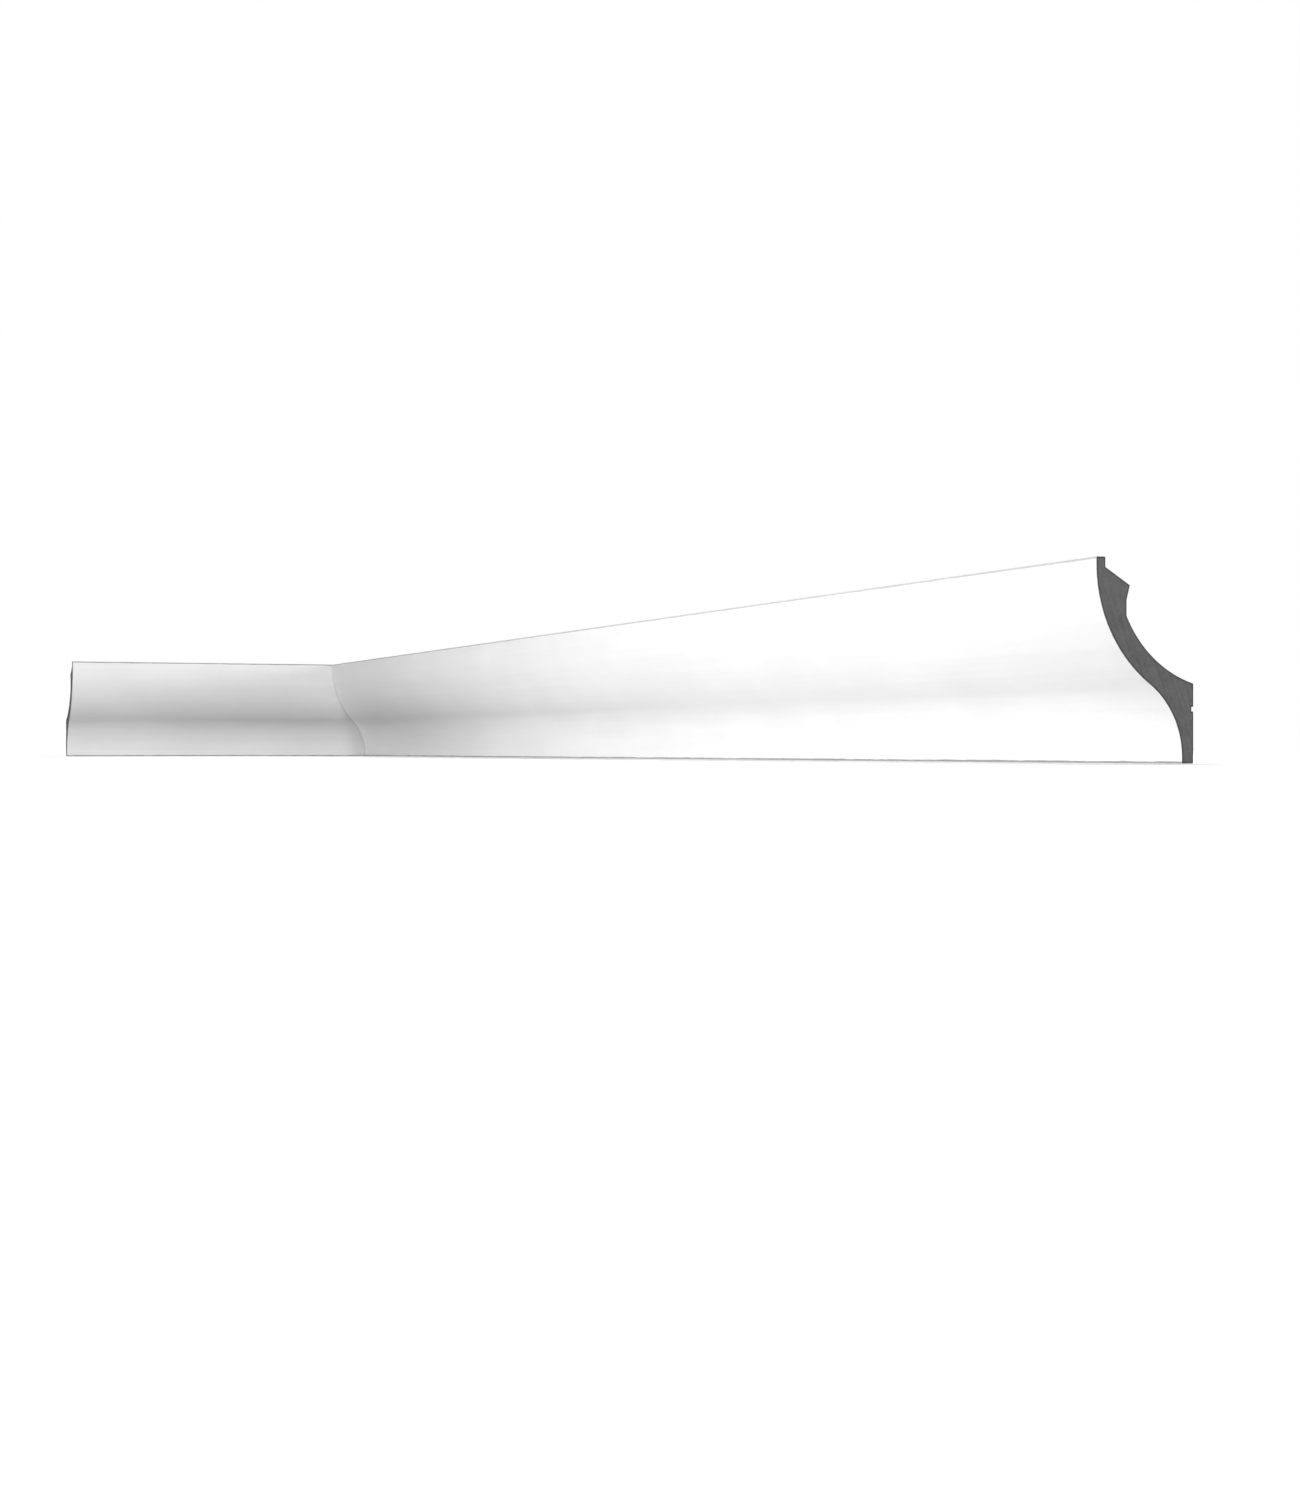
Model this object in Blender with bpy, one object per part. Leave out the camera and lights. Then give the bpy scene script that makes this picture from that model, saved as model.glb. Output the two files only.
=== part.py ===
"""A cornice moulding carried round an inside corner: a long length and its short return.

Both are lengths of one moulded section, an ovolo that turns into a cove. Each is cut at 45
degrees where it meets the other in the corner, and square at its free end. Metres, +Z up.
The lower edges lie at z = 0. The wall behind the long length is the plane y = 0, the wall
behind the return is x = 0, and the room is on the side of +X and -Y.
"""
import math

import bmesh
import bpy
from mathutils import Matrix, Vector

MM = 0.001

# How far each length runs along its wall, from the corner to the square end
LONG_RUN = 2000 * MM
RETURN_RUN = 400 * MM

# Front of the section, from the ceiling down to the lower edge
TOP_BAND = 4.5 * MM          # upright band above the ovolo
OVOLO_HEIGHT = 69.0 * MM     # swelling curve
COVE_HEIGHT = 42.5 * MM      # hollow curve, tangent to the ovolo
FOOT_BAND = 4.0 * MM         # upright band below the cove
PROJECTION = 65.0 * MM       # from the wall to the front of the top band
FOOT_THICKNESS = 7.7 * MM    # from the wall to the front of the foot band

# Back of the section, which leaves a hollow in the corner of wall and ceiling
LIP_THICKNESS = 5.9 * MM     # the lip that meets the ceiling
LIP_DEPTH = 6.0 * MM
BEVEL_REACH = 16.3 * MM      # the slope from the lip to the heel
BEVEL_FALL = 10.2 * MM
HEEL_UNDERCUT = 2.2 * MM     # how far the back steps in again below the heel
HEEL_HEIGHT = 8.6 * MM
SHELL_THICKNESS = 13.6 * MM  # between the ovolo and the hollow, which are concentric

# A glue groove along the flat that meets the wall
GROOVE_RISE = 32.0 * MM      # its middle above the lower edge
GROOVE_WIDTH = 2.7 * MM
GROOVE_DEPTH = 1.3 * MM

MITRE_GAP = 0.3 * MM         # between the two mitred faces
WELD_DISTANCE = 0.01 * MM
FACET_LENGTH = 2.0 * MM      # longest straight step along a curve

HEIGHT = TOP_BAND + OVOLO_HEIGHT + COVE_HEIGHT + FOOT_BAND

FACE_COLOUR = (0.86, 0.86, 0.86, 1.0)
SAWN_COLOUR = (0.12, 0.12, 0.12, 1.0)


def clear_scene():
    for item in list(bpy.data.objects):
        bpy.data.objects.remove(item, do_unlink=True)


def arc(centre, radius, start, end):
    """Points along an arc from one angle to another, both ends included."""
    steps = max(4, math.ceil(abs(end - start) * radius / FACET_LENGTH))
    angles = [start + (end - start) * i / steps for i in range(steps + 1)]
    return [centre + radius * Vector((math.cos(a), math.sin(a))) for a in angles]


def front_curves():
    """The ovolo and the cove, two arcs that share a tangent where they meet."""
    ovolo_top = HEIGHT - TOP_BAND
    sweep = 2 * math.atan((PROJECTION - FOOT_THICKNESS) / (OVOLO_HEIGHT + COVE_HEIGHT))
    ovolo_radius = OVOLO_HEIGHT / math.sin(sweep)
    cove_radius = COVE_HEIGHT / math.sin(sweep)
    ovolo_centre = Vector((PROJECTION - ovolo_radius, ovolo_top))
    cove_centre = Vector((FOOT_THICKNESS + cove_radius, FOOT_BAND))
    ovolo = arc(ovolo_centre, ovolo_radius, 0.0, -sweep)
    cove = arc(cove_centre, cove_radius, math.pi - sweep, math.pi)
    return ovolo + cove[1:], ovolo_centre, ovolo_radius


def section_outline():
    """Corners of the section as (distance out from the wall, height), going round it once."""
    front, hollow_centre, ovolo_radius = front_curves()
    hollow_radius = ovolo_radius - SHELL_THICKNESS

    lip_back = PROJECTION - LIP_THICKNESS
    lip_low = HEIGHT - LIP_DEPTH
    heel = Vector((lip_back - BEVEL_REACH, lip_low - BEVEL_FALL))
    heel_root = heel + Vector((HEEL_UNDERCUT, -HEEL_HEIGHT))

    hollow_start = -math.acos((heel_root.x - hollow_centre.x) / hollow_radius)
    hollow_end = -math.acos(-hollow_centre.x / hollow_radius)
    hollow = arc(hollow_centre, hollow_radius, hollow_start, hollow_end)
    hollow[-1].x = 0.0

    groove_low = GROOVE_RISE - GROOVE_WIDTH / 2
    groove_high = GROOVE_RISE + GROOVE_WIDTH / 2
    wall_flat = [
        Vector((0.0, groove_high)), Vector((GROOVE_DEPTH, groove_high)),
        Vector((GROOVE_DEPTH, groove_low)), Vector((0.0, groove_low)), Vector((0.0, 0.0)),
    ]
    foot = [Vector((FOOT_THICKNESS, 0.0))]
    back = [Vector((lip_back, HEIGHT)), Vector((lip_back, lip_low)), heel, heel_root]
    top_front = [Vector((PROJECTION, HEIGHT))]
    return top_front + front + foot + wall_flat[::-1] + hollow[::-1] + back[::-1]


def principled(name, colour, roughness):
    material = bpy.data.materials.new(name)
    material.use_nodes = True
    shader = material.node_tree.nodes["Principled BSDF"]
    shader.inputs["Base Color"].default_value = colour
    shader.inputs["Roughness"].default_value = roughness
    shader.inputs["Metallic"].default_value = 0.0
    return material


def moulded_stock(name, run):
    """The section as a flat curve, extruded both ways by half the run."""
    curve = bpy.data.curves.new(name + "_section", "CURVE")
    curve.dimensions = "2D"
    curve.fill_mode = "BOTH"
    curve.extrude = run / 2
    outline = section_outline()
    spline = curve.splines.new("POLY")
    spline.points.add(len(outline) - 1)
    for point, corner in zip(spline.points, outline):
        point.co = (corner.x, corner.y, 0.0, 1.0)
    spline.use_cyclic_u = True
    return bpy.data.objects.new(name + "_stock", curve)


def mitre_cut(mesh_data):
    """Saw off the corner end on the plane that halves the corner, and close the cut."""
    saw_plane = Vector((1.0, 1.0, 0.0)).normalized()
    cut = bmesh.ops.bisect_plane(
        mesh_data, geom=mesh_data.verts[:] + mesh_data.edges[:] + mesh_data.faces[:],
        plane_co=saw_plane * MITRE_GAP / 2, plane_no=saw_plane, clear_inner=True,
    )
    edges = [item for item in cut["geom_cut"] if isinstance(item, bmesh.types.BMEdge)]
    bmesh.ops.contextual_create(mesh_data, geom=edges)


def length_of_moulding(name, run, on_return_wall, collection):
    """One length: extruded, laid along its wall, mitred at the corner, square at the end."""
    stock = moulded_stock(name, run)
    bpy.context.scene.collection.objects.link(stock)
    evaluated = stock.evaluated_get(bpy.context.evaluated_depsgraph_get())
    mesh = bpy.data.meshes.new_from_object(evaluated)
    mesh.name = name
    bpy.data.objects.remove(stock, do_unlink=True)

    # Section axes out and up become -Y and +Z, and the extrusion runs along +X
    lay_along_wall = Matrix(((0, 0, 1, run / 2), (-1, 0, 0, 0), (0, 1, 0, 0), (0, 0, 0, 1)))
    body = bmesh.new()
    body.from_mesh(mesh)
    bmesh.ops.remove_doubles(body, verts=body.verts, dist=WELD_DISTANCE)
    bmesh.ops.transform(body, matrix=lay_along_wall, verts=body.verts)
    mitre_cut(body)
    if on_return_wall:
        swap_walls = Matrix(((0, -1, 0, 0), (-1, 0, 0, 0), (0, 0, 1, 0), (0, 0, 0, 1)))
        bmesh.ops.transform(body, matrix=swap_walls, verts=body.verts)
    bmesh.ops.recalc_face_normals(body, faces=body.faces)

    along = Vector((0, -1, 0)) if on_return_wall else Vector((1, 0, 0))
    for face in body.faces:
        face.material_index = 1 if face.normal.dot(along) > 0.99 else 0
    body.to_mesh(mesh)
    body.free()

    mesh.materials.clear()
    mesh.materials.append(principled(name + "_primer", FACE_COLOUR, 0.5))
    mesh.materials.append(principled(name + "_sawn_end", SAWN_COLOUR, 0.85))
    mesh.shade_smooth()
    mesh.set_sharp_from_angle(angle=math.radians(20))
    item = bpy.data.objects.new(name, mesh)
    collection.objects.link(item)
    return item


clear_scene()
cornice = bpy.data.collections.new("cornice_moulding")
bpy.context.scene.collection.children.link(cornice)
length_of_moulding("long_length", LONG_RUN, False, cornice)
length_of_moulding("return_length", RETURN_RUN, True, cornice)
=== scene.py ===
"""A cornice moulding turned round an inside corner, as a fixer makes it up from two lengths.

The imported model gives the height, the projection and how far each length runs. The finer
sizes of the section are named where the long length is made, in millimetres times MM.
Metres, +Z up, the long length along +X with its wall at y = 0, the return along -Y.
"""
import math

import bmesh
import bpy
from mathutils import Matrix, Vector


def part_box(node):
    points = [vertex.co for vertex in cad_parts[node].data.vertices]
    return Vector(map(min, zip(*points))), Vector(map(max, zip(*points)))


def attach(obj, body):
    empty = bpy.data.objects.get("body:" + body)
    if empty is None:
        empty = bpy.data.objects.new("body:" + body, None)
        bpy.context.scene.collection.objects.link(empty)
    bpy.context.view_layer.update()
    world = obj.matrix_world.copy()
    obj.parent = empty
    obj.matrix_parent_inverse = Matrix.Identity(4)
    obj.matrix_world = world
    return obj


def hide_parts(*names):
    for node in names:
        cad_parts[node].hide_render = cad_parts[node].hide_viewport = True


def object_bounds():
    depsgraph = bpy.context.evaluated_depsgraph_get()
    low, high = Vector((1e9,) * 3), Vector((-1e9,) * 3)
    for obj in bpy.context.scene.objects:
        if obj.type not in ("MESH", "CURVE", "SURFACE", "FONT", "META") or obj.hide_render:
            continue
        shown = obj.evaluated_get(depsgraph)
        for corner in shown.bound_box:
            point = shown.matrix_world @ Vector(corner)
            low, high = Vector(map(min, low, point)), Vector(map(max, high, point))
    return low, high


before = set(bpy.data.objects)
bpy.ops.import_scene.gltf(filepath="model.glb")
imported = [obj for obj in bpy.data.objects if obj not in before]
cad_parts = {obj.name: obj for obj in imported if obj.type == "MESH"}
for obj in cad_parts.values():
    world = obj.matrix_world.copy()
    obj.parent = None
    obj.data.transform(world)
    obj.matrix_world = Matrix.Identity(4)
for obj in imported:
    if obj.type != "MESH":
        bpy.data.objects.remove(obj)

cad_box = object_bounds()
MM = 0.001

# The viewpoint of the photograph
# The eye is nearly level with the lower edge and looks along the long length, from beyond
# its square end. That end's face is turned from the picture by LOOK_ACROSS, and the corner
# lies far behind it.
EYE = Vector((3.249, -0.805, 0.008))
LOOK_ACROSS = math.radians(20.4)   # turned from the long length's own direction to its wall
FOCAL_PIXELS = 1471                # in the photograph's frame, 1500 pixels on its long side
CLOSER = 1.68                      # the frame is closed in on the moulding by this much
SENSOR = 36.0

camera_data = bpy.data.cameras.new("camera")
camera_data.sensor_width = SENSOR
camera_data.lens = SENSOR * FOCAL_PIXELS * CLOSER / 1500
camera_data.clip_start = 0.01
camera = bpy.data.objects.new("camera", camera_data)
look = Vector((-math.cos(LOOK_ACROSS), math.sin(LOOK_ACROSS), 0.0))
camera.location = EYE
camera.rotation_euler = look.to_track_quat("-Z", "Y").to_euler()
bpy.context.scene.collection.objects.link(camera)
bpy.context.scene.camera = camera

# The studio
# A pale floor in a white room. A glow that only the camera sees turns it plain white away from
# the moulding; right beside it, most by the corner, and behind it where it is seen edge on, that
# glow is painted light over the floor's shade and the moulding's shadow. Two soft lights stand
# low in front of it, one stands beyond the square end and lights the return, a wide one hangs
# over it, and two light the backs.
FLOOR_COLOUR = 0.78                       # as the camera sees it
CORNER_BOUNCE, OPEN_BOUNCE = 0.20, 0.65   # what it gives back, in the corner and away from it
CORNER_REACH = 0.9                        # where the corner's values have given way
FLOOR_REACH = 30.0
FLOOR_DROP = 0.2 * MM
WHITE_BY = 0.35                           # plain white from this far off the moulding
WHITE_CORNER, WHITE_OPEN = 0.35, 0.06     # painted light added right beside it, by the corner and away from it
GRAZE_FROM, GRAZE_TO = 0.97, 0.99         # painted light too behind it, over its shadow, seen edge on, which is 1
ROOM_LIGHT = 0.10
ROOM_WHITE = 1.0                          # what the camera sees of the room
LIGHTS = (
    # name, place, aim, size, power
    ("near_light", (2.0, -1.6, 0.08), (0.9, 0.0, 0.06), 0.16, 9.4),
    ("far_light", (1.4, -2.2, 0.10), (1.2, 0.0, 0.06), 0.2, 31.0),
    ("top_light", (2.2, -0.6, 3.0), (2.2, -0.6, 0.0), 4.0, 27.0),
    ("return_light", (4.5, -0.7, 1.3), (0.0, -0.25, 0.06), 0.6, 54.5),
    ("long_back_light", (0.9, 2.4, 0.5), (0.95, 0.0, 0.05), 0.8, 40.0),
    ("return_back_light", (-1.1, 0.5, 0.5), (0.0, -0.2, 0.06), 0.5, 16.0),
)


def add_node(tree, kind, inputs=None, **settings):
    """One node with its settings. Each input is wired to a socket or given a value."""
    node = tree.nodes.new(kind)
    for name, value in settings.items():
        setattr(node, name, value)
    for key, value in (inputs or {}).items():
        if isinstance(value, bpy.types.NodeSocket):
            tree.links.new(value, node.inputs[key])
        else:
            node.inputs[key].default_value = value
    return node


def maths(tree, operation, first, second=0.0, third=0.0):
    inputs = {0: first, 1: second, 2: third}
    return add_node(tree, "ShaderNodeMath", inputs, operation=operation).outputs[0]


def fade(tree, value, start, end, low=0.0, high=1.0):
    """Runs smoothly from low where the value is at its start to high at its end."""
    inputs = {"Value": value, "From Min": start, "From Max": end, "To Min": low, "To Max": high}
    node = add_node(tree, "ShaderNodeMapRange", inputs, interpolation_type="SMOOTHSTEP")
    return node.outputs["Result"]


def split(tree, vector):
    return add_node(tree, "ShaderNodeSeparateXYZ", {0: vector}).outputs


def combined(tree, x=0.0, y=0.0, z=0.0):
    return add_node(tree, "ShaderNodeCombineXYZ", {0: x, 1: y, 2: z}).outputs[0]


def measured(tree, vector):
    """How long a vector is."""
    inputs = {0: vector}
    return add_node(tree, "ShaderNodeVectorMath", inputs, operation="LENGTH").outputs["Value"]


for name, place, aim, size, power in LIGHTS:
    lamp = bpy.data.lights.new(name, "AREA")
    lamp.shape = "DISK"
    lamp.size = size
    lamp.energy = power
    item = bpy.data.objects.new(name, lamp)
    item.location = place
    item.rotation_euler = (Vector(aim) - Vector(place)).to_track_quat("-Z", "Y").to_euler()
    item.visible_camera = False
    bpy.context.scene.collection.objects.link(item)

room = bpy.data.worlds.new("white_room")
room.use_nodes = True
room_tree = room.node_tree
seen = add_node(room_tree, "ShaderNodeLightPath").outputs["Is Camera Ray"]
brightness = add_node(
    room_tree, "ShaderNodeMapRange", {"Value": seen, "To Min": ROOM_LIGHT, "To Max": ROOM_WHITE},
).outputs["Result"]
room_tree.nodes["Background"].inputs["Color"].default_value = (1.0, 1.0, 1.0, 1.0)
room_tree.links.new(brightness, room_tree.nodes["Background"].inputs["Strength"])
bpy.context.scene.world = room
bpy.context.scene.view_settings.view_transform = "Standard"

bpy.ops.mesh.primitive_plane_add(size=2 * FLOOR_REACH, location=(0.0, 0.0, -FLOOR_DROP))
floor = bpy.context.object
floor.name = "floor"
floor_paint = bpy.data.materials.new("floor_paint")
floor_paint.use_nodes = True
floor_tree = floor_paint.node_tree
floor_shader = floor_tree.nodes["Principled BSDF"]
seen = add_node(floor_tree, "ShaderNodeLightPath").outputs["Is Camera Ray"]
floor_place = add_node(floor_tree, "ShaderNodeTexCoord").outputs["Object"]
spot = split(floor_tree, floor_place)
from_corner = measured(floor_tree, floor_place)
bounce = fade(floor_tree, from_corner, 0.0, CORNER_REACH, CORNER_BOUNCE, OPEN_BOUNCE)
paint = add_node(
    floor_tree, "ShaderNodeMapRange", {"Value": seen, "To Min": bounce, "To Max": FLOOR_COLOUR},
).outputs["Result"]


def away_from(along, across, run):
    """How far a spot of the floor is from a line that starts in the corner."""
    from_middle = maths(floor_tree, "ABSOLUTE", maths(floor_tree, "SUBTRACT", along, run / 2))
    past_end = maths(floor_tree, "SUBTRACT", from_middle, abs(run / 2))
    past_end = maths(floor_tree, "MAXIMUM", past_end, 0.0)
    return measured(floor_tree, combined(floor_tree, past_end, across))


from_long = away_from(spot["X"], spot["Y"], cad_box[1].x)
from_return = away_from(spot["Y"], spot["X"], cad_box[0].y)
away = maths(floor_tree, "MINIMUM", from_long, from_return)
# Beside the moulding and behind it the glow is painted light over the floor's shade
near = fade(floor_tree, from_corner, 0.0, CORNER_REACH, WHITE_CORNER, WHITE_OPEN)
edge_on = add_node(floor_tree, "ShaderNodeLayerWeight", {"Blend": 0.5}).outputs["Facing"]
behind = maths(floor_tree, "GREATER_THAN", spot["Y"], 0.0)
grazed = maths(floor_tree, "MULTIPLY", fade(floor_tree, edge_on, GRAZE_FROM, GRAZE_TO), behind)
whitened = maths(floor_tree, "MAXIMUM", fade(floor_tree, away, 0.0, WHITE_BY, near), grazed)
whitened = maths(floor_tree, "MULTIPLY", whitened, seen)
floor_tree.links.new(paint, floor_shader.inputs["Base Color"])
floor_tree.links.new(whitened, floor_shader.inputs["Emission Strength"])
floor_shader.inputs["Emission Color"].default_value = (1.0, 1.0, 1.0, 1.0)
floor_shader.inputs["Roughness"].default_value = 0.9
floor_shader.inputs["Specular IOR Level"].default_value = 0.0
floor.data.materials.append(floor_paint)

# The long length
# Hard grey foam, moulded in one section: an ovolo runs into a cove between two narrow upright
# bands, and the back leaves the corner of wall and ceiling hollow. The front is primed white
# in the factory. The fixer saws it square at its free end and to a mitre that is glued.
TOP_BAND = 4.5 * MM
COVE_HEIGHT = 42.5 * MM
FOOT_BAND = 4.0 * MM
FOOT_THICKNESS = 7.7 * MM
LIP_THICKNESS = 5.9 * MM
LIP_DEPTH = 6.0 * MM
BEVEL_REACH = 16.3 * MM
BEVEL_FALL = 10.2 * MM
HEEL_UNDERCUT = 2.2 * MM
HEEL_HEIGHT = 8.6 * MM
SHELL_THICKNESS = 13.6 * MM
GROOVE_RISE = 32.0 * MM
GROOVE_WIDTH = 2.7 * MM
GROOVE_DEPTH = 1.3 * MM
FRONT_ARRIS = 0.5 * MM     # radius that the mould leaves on an edge
BACK_ARRIS = 0.6 * MM
GROOVE_ARRIS = 0.3 * MM
SKIN = 1.2 * MM            # the denser foam under the surface, which shows where it is sawn
MITRE_GAP = 0.3 * MM
SAWN_EASE = 0.25 * MM
FACET = 1.0 * MM           # longest step along a curve
STRAIGHT_FROM = 1.2 * MM   # what is longer is a straight stretch, taken in steps
STRAIGHT_STEP = 3.0 * MM
HOLD = 0.3 * MM            # a flat keeps flat up to this far from a rounded edge
ARRIS_STEPS = 5
RING_SPACING = 40 * MM
END_RINGS = 4              # two at each end
FACE_REACH = 0.75          # share of an eased edge that has the sawn face's finish
SHARP_ANGLE = math.radians(30)
WELD = 0.01 * MM

long_low, long_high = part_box("long_length")
height = long_high.z - long_low.z
projection = long_high.y - long_low.y
ovolo_height = height - TOP_BAND - COVE_HEIGHT - FOOT_BAND
sweep = 2 * math.atan((projection - FOOT_THICKNESS) / (ovolo_height + COVE_HEIGHT))
ovolo_radius = ovolo_height / math.sin(sweep)
cove_radius = COVE_HEIGHT / math.sin(sweep)
hollow_radius = ovolo_radius - SHELL_THICKNESS
ovolo_centre = Vector((projection - ovolo_radius, height - TOP_BAND))
cove_centre = Vector((FOOT_THICKNESS + cove_radius, FOOT_BAND))


def arc(centre, radius, start, end):
    steps = math.ceil(abs(end - start) * radius / FACET)
    angles = [start + (end - start) * i / steps for i in range(steps + 1)]
    return [centre + radius * Vector((math.cos(a), math.sin(a))) for a in angles]


def section_stops():
    """Corners (out from the wall, up) of the section and the radius of each, clockwise."""
    lip_back = projection - LIP_THICKNESS
    heel = Vector((lip_back - BEVEL_REACH, height - LIP_DEPTH - BEVEL_FALL))
    heel_root = heel + Vector((HEEL_UNDERCUT, -HEEL_HEIGHT))
    hollow_start = -math.acos((heel_root.x - ovolo_centre.x) / hollow_radius)
    hollow_end = -math.acos(-ovolo_centre.x / hollow_radius)
    ovolo = arc(ovolo_centre, ovolo_radius, 0.0, -sweep)
    cove = arc(cove_centre, cove_radius, math.pi - sweep, math.pi)
    hollow = arc(ovolo_centre, hollow_radius, hollow_end, hollow_start)
    groove_low = GROOVE_RISE - GROOVE_WIDTH / 2
    groove_high = GROOVE_RISE + GROOVE_WIDTH / 2
    front = [(Vector((projection, height)), FRONT_ARRIS)]
    front += [(point, 0.0) for point in ovolo + cove[1:]]
    front += [(Vector((FOOT_THICKNESS, 0.0)), FRONT_ARRIS)]
    back = [
        (Vector((0.0, 0.0)), BACK_ARRIS),
        (Vector((0.0, groove_low)), GROOVE_ARRIS),
        (Vector((GROOVE_DEPTH, groove_low)), GROOVE_ARRIS),
        (Vector((GROOVE_DEPTH, groove_high)), GROOVE_ARRIS),
        (Vector((0.0, groove_high)), GROOVE_ARRIS),
        (hollow[0], BACK_ARRIS),
    ]
    back += [(point, 0.0) for point in hollow[1:]]
    back += [
        (heel_root, BACK_ARRIS),
        (heel, BACK_ARRIS),
        (Vector((lip_back, height - LIP_DEPTH)), BACK_ARRIS),
        (Vector((lip_back, height)), BACK_ARRIS),
    ]
    return front, back


def way_in(step):
    """Square to a step of the outline, into the foam."""
    return Vector((step.y, -step.x)).normalized()


def section_outline():
    """Points of the outline. Each has its way in, its place on the skin's inner line, its side."""
    front, back = section_stops()
    stops = front + back
    corners = []
    for i, (corner, radius) in enumerate(stops):
        came, goes = corner - stops[i - 1][0], stops[(i + 1) % len(stops)][0] - corner
        first, last = way_in(came), way_in(goes)
        slant = (first + last) / (1 + first.dot(last))
        turn = radius if came.x * goes.y < came.y * goes.x else -radius
        ways = [slant.normalized()]
        if radius:
            ways = [first.slerp(last, step / ARRIS_STEPS) for step in range(ARRIS_STEPS + 1)]
        points = [corner + turn * (slant - way) if radius else corner for way in ways]
        corners.append((points, ways, corner + slant * SKIN))

    outline = []
    for i, (points, ways, skin) in enumerate(corners):
        side = 1.0 if i < len(front) else 0.0
        outline += [(point, way, skin, side) for point, way in zip(points, ways)]
        next_points, _, next_skin = corners[(i + 1) % len(corners)]
        start, end = points[-1], next_points[0]
        gap = (end - start).length
        if gap > STRAIGHT_FROM:
            steps = math.ceil(gap / STRAIGHT_STEP)
            shares = {step / steps for step in range(1, steps)} | {HOLD / gap, 1 - HOLD / gap}
            side = 1.0 if i < len(front) - 1 else 0.0
            for share in sorted(shares):
                skin_point = skin.lerp(next_skin, share)
                outline.append((start.lerp(end, share), way_in(end - start), skin_point, side))
    return outline


def outline_object():
    """The outline as a loop of edges that carries what each of its points knows."""
    outline = section_outline()
    count = len(outline)
    mesh = bpy.data.meshes.new("section_outline")
    edges = [(i, (i + 1) % count) for i in range(count)]
    mesh.from_pydata([(point.x, point.y, 0.0) for point, _, _, _ in outline], edges, [])
    mesh.attributes.new("front", "FLOAT", "POINT")
    mesh.attributes.new("way_in", "FLOAT_VECTOR", "POINT")
    mesh.attributes.new("to_skin", "FLOAT_VECTOR", "POINT")
    for i, (point, way, skin, side) in enumerate(outline):
        mesh.attributes["front"].data[i].value = side
        mesh.attributes["way_in"].data[i].vector = (way.x, way.y, 0.0)
        mesh.attributes["to_skin"].data[i].vector = (skin.x - point.x, skin.y - point.y, 0.0)
    item = bpy.data.objects.new("section_outline", mesh)
    bpy.context.scene.collection.objects.link(item)
    return item


def new_group(name, kind, inputs, outputs):
    """An empty node group with named sockets. An input is (name, socket kind, default)."""
    tree = bpy.data.node_groups.new(name, kind)
    for label, socket_kind, default in inputs:
        socket = tree.interface.new_socket(label, in_out="INPUT", socket_type=socket_kind)
        if default is not None:
            socket.default_value = default
    for label, socket_kind in outputs:
        tree.interface.new_socket(label, in_out="OUTPUT", socket_type=socket_kind)
    return tree, tree.nodes.new("NodeGroupInput").outputs, tree.nodes.new("NodeGroupOutput").inputs


def scaled(tree, vector, amount):
    inputs = {0: vector, "Scale": amount}
    return add_node(tree, "ShaderNodeVectorMath", inputs, operation="SCALE").outputs["Vector"]


def added(tree, first, second):
    inputs = {0: first, 1: second}
    return add_node(tree, "ShaderNodeVectorMath", inputs, operation="ADD").outputs["Vector"]


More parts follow.
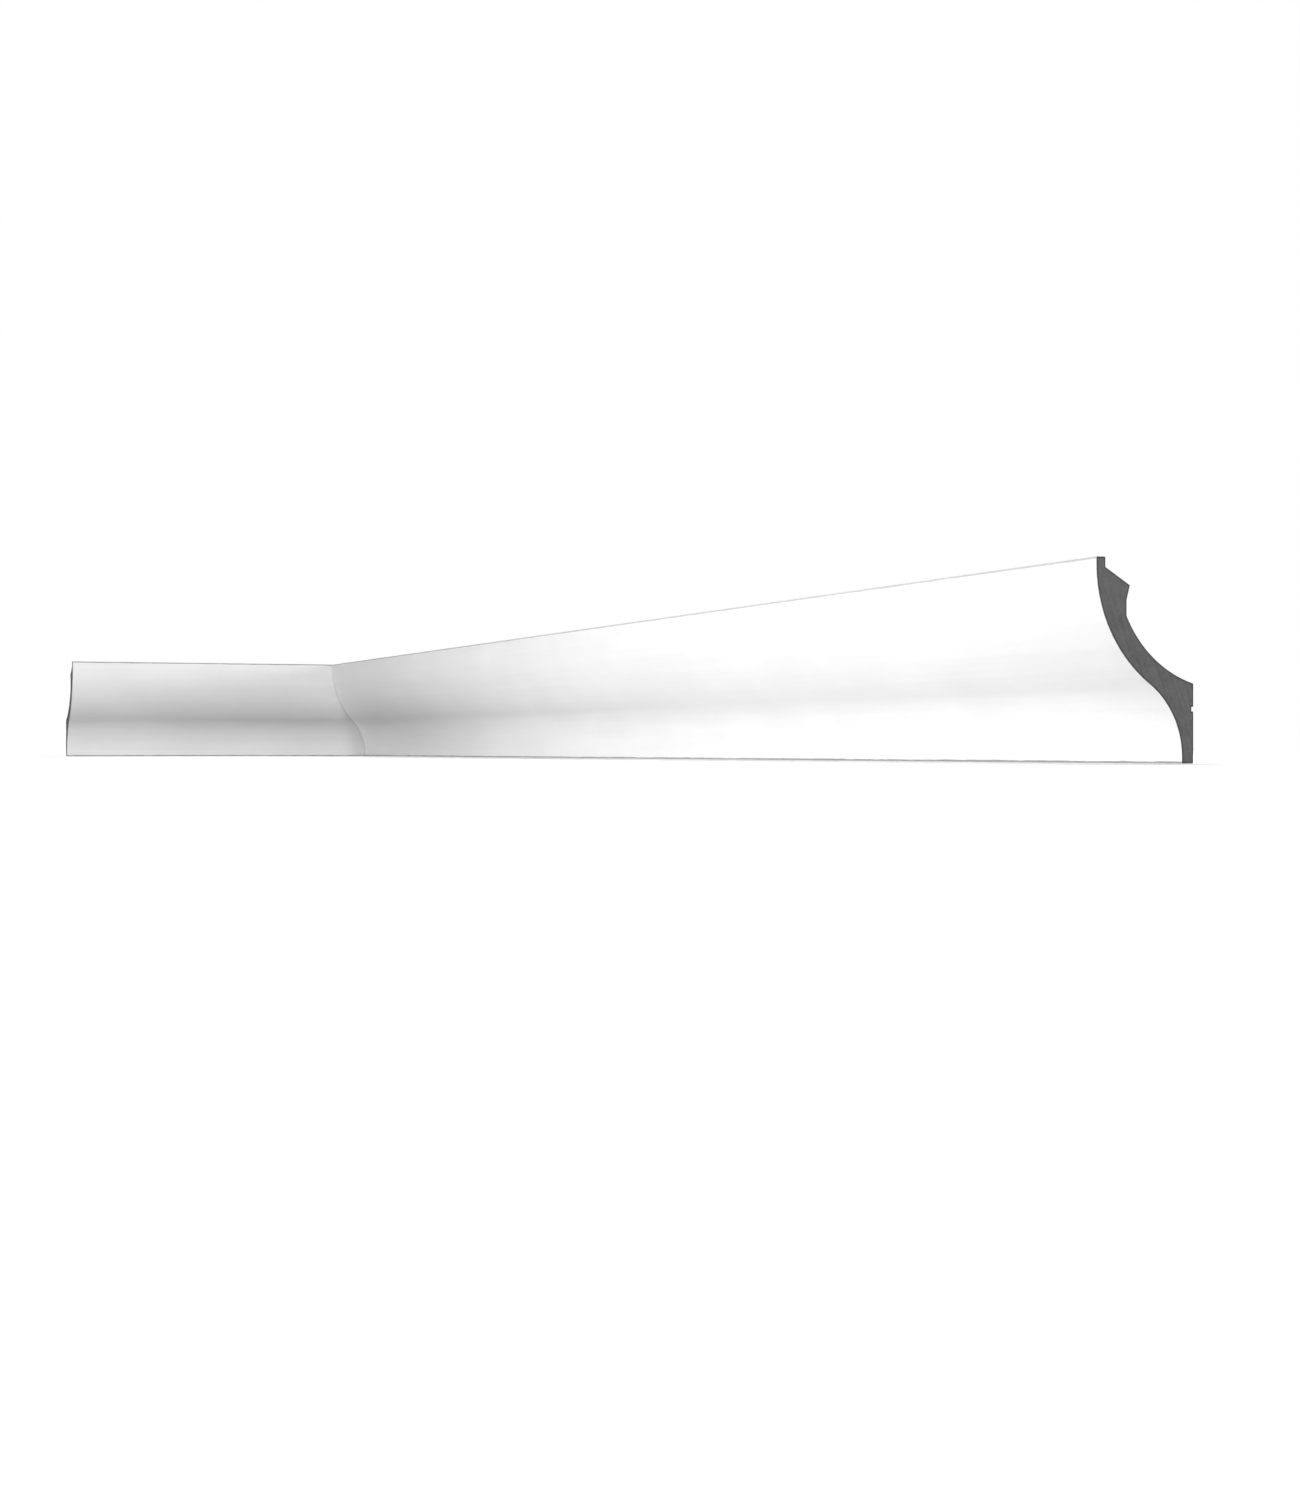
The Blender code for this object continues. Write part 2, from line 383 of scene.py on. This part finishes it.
def moulded_length_tree():
    """Sweeps the outline along a run, slants the corner end to the mitre, closes both ends."""
    tree, given, result = new_group(
        "moulded_length", "GeometryNodeTree",
        [("Outline", "NodeSocketGeometry", None), ("Run", "NodeSocketFloat", 1.0),
         ("Mitre Start", "NodeSocketFloat", 0.0), ("Ease", "NodeSocketFloat", SAWN_EASE),
         ("Rings", "NodeSocketInt", 8), ("Stock Start", "NodeSocketFloat", 0.0),
         ("Along", "NodeSocketVector", (1, 0, 0)), ("Out", "NodeSocketVector", (0, -1, 0)),
         ("Front", "NodeSocketMaterial", None), ("Back", "NodeSocketMaterial", None),
         ("Sawn", "NodeSocketMaterial", None), ("Glued", "NodeSocketMaterial", None)],
        [("Length", "NodeSocketGeometry")],
    )

    def named(name, kind):
        node = add_node(tree, "GeometryNodeInputNamedAttribute", {"Name": name}, data_type=kind)
        return node.outputs["Attribute"]

    def moved(geometry, **inputs):
        inputs = {"Geometry": geometry, **inputs}
        return add_node(tree, "GeometryNodeSetPosition", inputs).outputs[0]

    def welded(geometry):
        inputs = {"Geometry": geometry, "Distance": WELD}
        return add_node(tree, "GeometryNodeMergeByDistance", inputs).outputs[0]

    def stored(geometry, name, value, kind):
        inputs = {"Geometry": geometry, "Name": name, "Value": value}
        return add_node(
            tree, "GeometryNodeStoreNamedAttribute", inputs, data_type=kind, domain="POINT",
        ).outputs["Geometry"]

    # A grid whose rows are rings round the length and whose columns follow the outline
    outline_size = add_node(tree, "GeometryNodeAttributeDomainSize", {0: given["Outline"]})
    count = outline_size.outputs["Point Count"]
    columns = maths(tree, "ADD", count, 1.0)
    inputs = {"Vertices X": given["Rings"], "Vertices Y": columns}
    grid = add_node(tree, "GeometryNodeMeshGrid", inputs)
    index = add_node(tree, "GeometryNodeInputIndex").outputs[0]
    ring = maths(tree, "FLOOR", maths(tree, "DIVIDE", maths(tree, "ADD", index, 0.5), columns))
    column = maths(tree, "SUBTRACT", index, maths(tree, "MULTIPLY", ring, columns))
    around = maths(tree, "FLOORED_MODULO", column, count)

    def from_outline(value, kind):
        inputs = {"Geometry": given["Outline"], "Value": value, "Index": around}
        return add_node(
            tree, "GeometryNodeSampleIndex", inputs, data_type=kind, domain="POINT",
        ).outputs["Value"]

    # At each end one ring turns the eased edge and one follows the skin's inner line
    from_end = maths(tree, "SUBTRACT", maths(tree, "SUBTRACT", given["Rings"], 1.0), ring)
    nearest = maths(tree, "MINIMUM", ring, from_end)
    at_skin = maths(tree, "LESS_THAN", nearest, 0.5)
    at_ease = maths(tree, "COMPARE", nearest, 1.0, 0.5)
    at_mitre = maths(tree, "LESS_THAN", ring, 1.5)
    at_square = maths(tree, "LESS_THAN", from_end, 1.5)
    position = add_node(tree, "GeometryNodeInputPosition").outputs[0]
    eased = scaled(tree, from_outline(named("way_in", "FLOAT_VECTOR"), "FLOAT_VECTOR"),
                   maths(tree, "MULTIPLY", at_ease, given["Ease"]))
    skinned = scaled(tree, from_outline(named("to_skin", "FLOAT_VECTOR"), "FLOAT_VECTOR"), at_skin)
    ring_point = added(tree, from_outline(position, "FLOAT_VECTOR"), added(tree, eased, skinned))
    section = split(tree, ring_point)

    # The full rings between are spread evenly and slant less and less
    start = maths(tree, "ADD", maths(tree, "ADD", section["X"], given["Mitre Start"]), given["Ease"])
    stop = maths(tree, "SUBTRACT", given["Run"], given["Ease"])
    gaps = maths(tree, "SUBTRACT", given["Rings"], END_RINGS + 1.0)
    share = maths(tree, "DIVIDE", maths(tree, "SUBTRACT", ring, END_RINGS / 2), gaps)
    share = add_node(tree, "ShaderNodeClamp", {"Value": share}).outputs[0]
    along = maths(tree, "MULTIPLY_ADD", share, maths(tree, "SUBTRACT", stop, start), start)
    along = maths(tree, "SUBTRACT", along, maths(tree, "MULTIPLY", at_mitre, given["Ease"]))
    along = maths(tree, "MULTIPLY_ADD", at_square, given["Ease"], along)
    ring_place = combined(tree, along, section["X"], section["Y"])
    sides = moved(grid.outputs["Mesh"], Position=ring_place)
    sides = stored(sides, "front", from_outline(named("front", "FLOAT"), "FLOAT"), "FLOAT")
    sides = stored(sides, "rim", maths(tree, "SUBTRACT", 1.0, at_skin), "FLOAT")

    # The foam inside the skin is the same outline, drawn in and filled
    core_line = welded(moved(given["Outline"], Offset=named("to_skin", "FLOAT_VECTOR")))
    core_curve = add_node(tree, "GeometryNodeMeshToCurve", {0: core_line}).outputs[0]
    core = add_node(tree, "GeometryNodeFillCurve", {0: core_curve}, mode="TRIANGLES").outputs[0]
    flat = split(tree, position)
    square = combined(tree, given["Run"], flat["X"], flat["Y"])
    slant = maths(tree, "ADD", flat["X"], given["Mitre Start"])
    mitred = combined(tree, slant, flat["X"], flat["Y"])
    joined = add_node(tree, "GeometryNodeJoinGeometry")
    for part in (moved(core, Position=mitred), moved(core, Position=square), sides):
        tree.links.new(part, joined.inputs[0])
    whole = welded(joined.outputs[0])

    # Each point keeps its place on the uncut stock and how far it is from each sawn face
    place = split(tree, position)
    on_stock = added(tree, position, combined(tree, given["Stock Start"]))
    whole = stored(whole, "stock", on_stock, "FLOAT_VECTOR")
    slanted = maths(tree, "SUBTRACT", place["X"], place["Y"])
    from_mitre = maths(tree, "SUBTRACT", slanted, given["Mitre Start"])
    from_square = maths(tree, "SUBTRACT", given["Run"], place["X"])
    whole = stored(whole, "from_mitre", from_mitre, "FLOAT")
    whole = stored(whole, "cut", maths(tree, "MINIMUM", from_mitre, from_square), "FLOAT")

    # Laid along its wall
    laid = added(tree, scaled(tree, given["Along"], place["X"]), scaled(tree, given["Out"], place["Y"]))
    laid = moved(whole, Position=added(tree, laid, combined(tree, z=place["Z"])))
    painted = add_node(tree, "GeometryNodeRealizeInstances", {0: laid}).outputs[0]
    is_front = maths(tree, "GREATER_THAN", named("front", "FLOAT"), 0.5)
    reach = maths(tree, "MULTIPLY", given["Ease"], FACE_REACH)
    is_sawn = maths(tree, "LESS_THAN", named("cut", "FLOAT"), reach)
    is_glued = maths(tree, "LESS_THAN", named("from_mitre", "FLOAT"), reach)
    coats = ((True, "Back"), (is_front, "Front"), (is_sawn, "Sawn"), (is_glued, "Glued"))
    for selection, coat in coats:
        inputs = {"Geometry": painted, "Selection": selection, "Material": given[coat]}
        painted = add_node(tree, "GeometryNodeSetMaterial", inputs).outputs[0]
    tree.links.new(painted, result["Length"])
    return tree


NOISE_LOW, NOISE_HIGH = 0.3, 0.7   # what a noise mostly stays between


def unevenness_group():
    """How a spot differs from the rest, from -1 to 1, in patches of one size."""
    tree, given, result = new_group(
        "unevenness", "ShaderNodeTree",
        [("Place", "NodeSocketVector", None), ("Patch", "NodeSocketFloat", 0.01),
         ("Lengthening", "NodeSocketFloat", 1.0), ("Detail", "NodeSocketFloat", 2.0)],
        [("Amount", "NodeSocketFloat")],
    )
    place = split(tree, given["Place"])
    patch_long = maths(tree, "MULTIPLY", given["Patch"], given["Lengthening"])
    shrunk = combined(
        tree,
        maths(tree, "DIVIDE", place["X"], patch_long),
        maths(tree, "DIVIDE", place["Y"], given["Patch"]),
        maths(tree, "DIVIDE", place["Z"], given["Patch"]),
    )
    inputs = {"Vector": shrunk, "Scale": 1.0, "Detail": given["Detail"]}
    noise = add_node(tree, "ShaderNodeTexNoise", inputs).outputs[0]
    spread = add_node(tree, "ShaderNodeMapRange", {
        "Value": noise, "From Min": NOISE_LOW, "From Max": NOISE_HIGH, "To Min": -1.0, "To Max": 1.0,
    }).outputs["Result"]
    tree.links.new(spread, result["Amount"])
    return tree


unevenness = unevenness_group()


def uneven(tree, place, patch, lengthening=1.0, detail=2.0):
    inputs = {"Place": place, "Patch": patch, "Lengthening": lengthening, "Detail": detail}
    return add_node(tree, "ShaderNodeGroup", inputs, node_tree=unevenness).outputs["Amount"]


def cells_of(tree, place, size):
    inputs = {"Vector": scaled(tree, place, 1 / size), "Scale": 1.0}
    return add_node(tree, "ShaderNodeTexVoronoi", inputs).outputs


def attribute(tree, name):
    return add_node(tree, "ShaderNodeAttribute", attribute_name=name).outputs


def mixed(tree, first, second, share):
    """A colour between two, all of the second where the share is 1."""
    inputs = {0: share, 6: first, 7: second}
    return add_node(tree, "ShaderNodeMix", inputs, data_type="RGBA").outputs[2]


def grey(tone, warmth=0.0):
    """A grey, turned a little to yellow by its warmth."""
    return (tone * (1 + warmth), tone, tone * (1 - 2 * warmth), 1.0)


def summed(tree, *terms):
    """The sum of values, each times its own weight."""
    total = 0.0
    for value, weight in terms:
        total = maths(tree, "MULTIPLY_ADD", value, weight, total)
    return total


def finish(name, gloss):
    """A new material with its tree, its shader and the place on the uncut stock."""
    material = bpy.data.materials.new(name)
    material.use_nodes = True
    tree = material.node_tree
    shader = tree.nodes["Principled BSDF"]
    shader.inputs["Specular IOR Level"].default_value = gloss
    return material, tree, shader, attribute(tree, "stock")["Vector"]


def connect(tree, shader, colour, roughness, relief):
    """Wires a finish to its shader. The relief is in metres."""
    bump = add_node(tree, "ShaderNodeBump", {"Height": relief, "Distance": 1.0})
    tree.links.new(colour, shader.inputs["Base Color"])
    tree.links.new(roughness, shader.inputs["Roughness"])
    tree.links.new(bump.outputs["Normal"], shader.inputs["Normal"])


# The factory primer: sprayed, faintly streaked along the run, rubbed to the foam on its edges.
# Its grey lines along the top and the foot are partly that rub and partly painted shade, where
# ceiling and floor meet the moulding, darker on the return's top
PRIMER_LIGHT, PRIMER_DULL = 0.83, 0.77
CLOUD, STREAK, SPECKLE, PEEL = 45 * MM, 5 * MM, 2.5 * MM, 1.3 * MM
# grey of the foam where the primer is rubbed through, also used as painted shade
RUB_AND_SHADE_GREY = 0.30
EDGE_LINE_WIDTH = 1.25 * MM
EDGE_LINE_SOFTNESS = 0.3              # share of the width over which it fades
EDGE_LINE_WAVER, WAVER_PATCH = 0.25 * MM, 5 * MM
# strength of each edge line; at the top and the foot it is partly painted shade
TOP_RUB_AND_SHADE, FOOT_RUB_AND_SHADE, CUT_RUB = 0.60, 1.0, 0.08
TOP_DARKER_FROM, TOP_DARKER_TO = 2.2, 3.0   # along the stock its top line is darker from here on, on the return: rub and painted shade
RETURN_TOP_RUB_AND_SHADE = 1.0

primer, tree, shader, place = finish("white_primer", 0.35)
parts = split(tree, place)
cloud = uneven(tree, place, CLOUD, 1.6, 3.0)
streak = uneven(tree, place, STREAK, 60.0, 2.0)
speckle = uneven(tree, place, SPECKLE, 1.0, 3.0)
peel = uneven(tree, place, PEEL, 1.0, 1.0)
waver = uneven(tree, place, WAVER_PATCH, 4.0, 3.0)
shade = summed(tree, (cloud, 0.25), (streak, 0.20), (speckle, 0.12))
painted = mixed(tree, grey(PRIMER_DULL), grey(PRIMER_LIGHT), maths(tree, "ADD", shade, 0.5))
from_top = maths(tree, "SUBTRACT", height, parts["Z"])
top_line_strength = fade(tree, parts["X"], TOP_DARKER_FROM, TOP_DARKER_TO, TOP_RUB_AND_SHADE, RETURN_TOP_RUB_AND_SHADE)
from_cut = attribute(tree, "cut")["Fac"]
# Edge lines: rubbed primer, and at the top and the foot also painted shade of the joints with ceiling
# and floor
rub_and_shade = 0.0
line_start, line_end = (1 + EDGE_LINE_SOFTNESS) * EDGE_LINE_WIDTH, (1 - EDGE_LINE_SOFTNESS) * EDGE_LINE_WIDTH
for distance, amount in ((from_top, top_line_strength), (parts["Z"], FOOT_RUB_AND_SHADE), (from_cut, CUT_RUB)):
    wavering = maths(tree, "MULTIPLY_ADD", waver, EDGE_LINE_WAVER, distance)
    rub_and_shade = maths(tree, "MAXIMUM", rub_and_shade, fade(tree, wavering, line_start, line_end, 0.0, amount))
connect(
    tree, shader, mixed(tree, painted, grey(RUB_AND_SHADE_GREY), rub_and_shade),
    summed(tree, (cloud, 0.03), (streak, 0.02), (rub_and_shade, 0.2), (1.0, 0.55)),
    summed(tree, (peel, 0.006 * MM), (streak, 0.010 * MM), (speckle, 0.006 * MM), (rub_and_shade, -0.05 * MM)),
)

# The moulded back: a thin, uneven coat over the foam's skin, with flow marks and pinholes,
# whose darkness is painted shade inside them
BACK_THICK, BACK_THIN = 0.70, 0.52
BACK_WARMTH = 0.012
COAT, FLOW, GRAIN = 70 * MM, 4 * MM, 2.2 * MM
HOLE_PATCH = 8 * MM        # half of the patches have a pinhole
HOLE_LARGEST = 0.08        # its radius, as a share of the patch
# how dark a pinhole is painted: painted shade inside it
PINHOLE_PAINTED_SHADE = 0.8

back_skin, tree, shader, place = finish("moulded_back", 0.25)
coat = uneven(tree, place, COAT, 1.8, 4.0)
flow = uneven(tree, place, FLOW, 30.0, 3.0)
grain = uneven(tree, place, GRAIN, 1.0, 3.0)
cells = cells_of(tree, place, HOLE_PATCH)
chance = split(tree, cells["Color"])["X"]
hole_radius = maths(tree, "MULTIPLY_ADD", chance, 2 * HOLE_LARGEST, -HOLE_LARGEST)
hole = maths(tree, "LESS_THAN", cells["Distance"], hole_radius)
cover = summed(tree, (coat, 0.18), (flow, 0.14), (grain, 0.10), (1.0, 0.62))
covered = mixed(tree, grey(BACK_THIN, BACK_WARMTH), grey(BACK_THICK, BACK_WARMTH), cover)
connect(
    tree, shader, mixed(tree, covered, grey(RUB_AND_SHADE_GREY), maths(tree, "MULTIPLY", hole, PINHOLE_PAINTED_SHADE)),
    summed(tree, (coat, 0.05), (grain, 0.03), (1.0, 0.80)),
    summed(tree, (grain, 0.04 * MM), (flow, 0.06 * MM), (hole, -0.4 * MM)),
)

# Sawn foam: fine open cells, their middles darkened as painted shade inside the pores, the
# tracks of the saw's teeth, and a darker skin round the rim
SAWN_LIGHT, SAWN_DARK = 0.165, 0.105
RIM_DARK = 0.062
RIM_FROM, RIM_TO = 0.05, 0.45   # as shares of the skin, from the inside
RIM_SHADE = 0.75
PATCH, FINE = 9 * MM, 2.0 * MM
CELL = 0.5 * MM
CELL_WALL, CELL_MIDDLE = 0.6, 0.1   # as shares of a cell, from its middle
TRACK = 2.2 * MM
SAW_UP, SAW_OUT = 0.94, 0.35        # which way the saw's stroke leans

sawn_foam, tree, shader, place = finish("sawn_foam", 0.2)
parts = split(tree, place)
patch = uneven(tree, place, PATCH, 1.0, 4.0)
fine = uneven(tree, place, FINE, 1.0, 3.0)
stroke = summed(tree, (parts["Z"], SAW_UP), (parts["Y"], SAW_OUT))
across = summed(tree, (parts["Y"], SAW_UP), (parts["Z"], -SAW_OUT))
track = uneven(tree, combined(tree, stroke, across), TRACK, 25.0, 2.0)
rim = fade(tree, attribute(tree, "rim")["Fac"], RIM_FROM, RIM_TO)
openness = fade(tree, cells_of(tree, place, CELL)["Distance"], CELL_WALL, CELL_MIDDLE)
# the middles of the open cells are darker: painted shade inside the pores
tone = summed(tree, (patch, 0.22), (fine, 0.15), (track, 0.22), (openness, -0.30), (1.0, 0.62))
sawn = mixed(tree, grey(SAWN_DARK), grey(SAWN_LIGHT), tone)
connect(
    tree, shader, mixed(tree, sawn, grey(RIM_DARK), maths(tree, "MULTIPLY", rim, RIM_SHADE)),
    summed(tree, (openness, 0.05), (patch, 0.03), (1.0, 0.90)),
    summed(tree, (openness, -0.06 * MM), (track, 0.05 * MM), (patch, 0.03 * MM)),
)

# The mitred faces: buttered with white joint adhesive, also over most of their eased edges
GLUE_LIGHT, GLUE_DARK = 0.80, 0.70
GLUE_WARMTH = 0.01
DAB, RIPPLE = 3.0 * MM, 0.8 * MM

joint_glue, tree, shader, place = finish("joint_adhesive", 0.4)
dab = uneven(tree, place, DAB, 1.0, 3.0)
ripple = uneven(tree, place, RIPPLE, 1.0, 2.0)
tone = summed(tree, (dab, 0.4), (1.0, 0.5))
connect(
    tree, shader, mixed(tree, grey(GLUE_DARK, GLUE_WARMTH), grey(GLUE_LIGHT, GLUE_WARMTH), tone),
    summed(tree, (dab, 0.06), (1.0, 0.42)),
    summed(tree, (dab, 0.05 * MM), (ripple, 0.02 * MM)),
)


def set_inputs(modifier, values):
    """Sets a modifier's inputs, which are given by name."""
    for item in modifier.node_group.interface.items_tree:
        if item.item_type == "SOCKET" and item.in_out == "INPUT" and item.name in values:
            modifier[item.identifier] = values[item.name]


length_tree = moulded_length_tree()


def moulded_length(name, run, stock_start, along, out):
    """One length as a plain mesh, closed and with its faces outwards."""
    stock = outline_object()
    sweep_modifier = stock.modifiers.new("moulded_length", "NODES")
    sweep_modifier.node_group = length_tree
    set_inputs(sweep_modifier, {
        "Run": run, "Mitre Start": MITRE_GAP / math.sqrt(2), "Ease": SAWN_EASE,
        "Rings": math.ceil(run / RING_SPACING) + 1 + END_RINGS, "Stock Start": stock_start,
        "Along": along, "Out": out, "Front": primer, "Back": back_skin,
        "Sawn": sawn_foam, "Glued": joint_glue,
    })
    evaluated = stock.evaluated_get(bpy.context.evaluated_depsgraph_get())
    mesh = bpy.data.meshes.new_from_object(evaluated)
    mesh.name = name
    bpy.data.objects.remove(stock, do_unlink=True)
    shape = bmesh.new()
    shape.from_mesh(mesh)
    bmesh.ops.recalc_face_normals(shape, faces=shape.faces)
    shape.to_mesh(mesh)
    shape.free()
    if mesh.materials[0] is None:
        mesh.materials.pop(index=0)
    mesh.shade_smooth()
    mesh.set_sharp_from_angle(angle=SHARP_ANGLE)
    item = bpy.data.objects.new(name, mesh)
    bpy.context.scene.collection.objects.link(item)
    return item


cornice_long = moulded_length("cornice_long", long_high.x, 0.0, (1, 0, 0), (0, -1, 0))
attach(cornice_long, "root")
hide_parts("long_length")

# The return
# A short length from the same stock, sawn to the opposite mitre and glued to the long one.
# It runs along the other wall as far as the photograph shows it.
RETURN_STOCK_START = 3.1   # where on the stock it was sawn from, so its marks are its own

return_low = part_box("return_length")[0]
cornice_return = moulded_length(
    "cornice_return", -return_low.y, RETURN_STOCK_START, (0, -1, 0), (1, 0, 0),
)
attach(cornice_return, "root")
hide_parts("return_length")
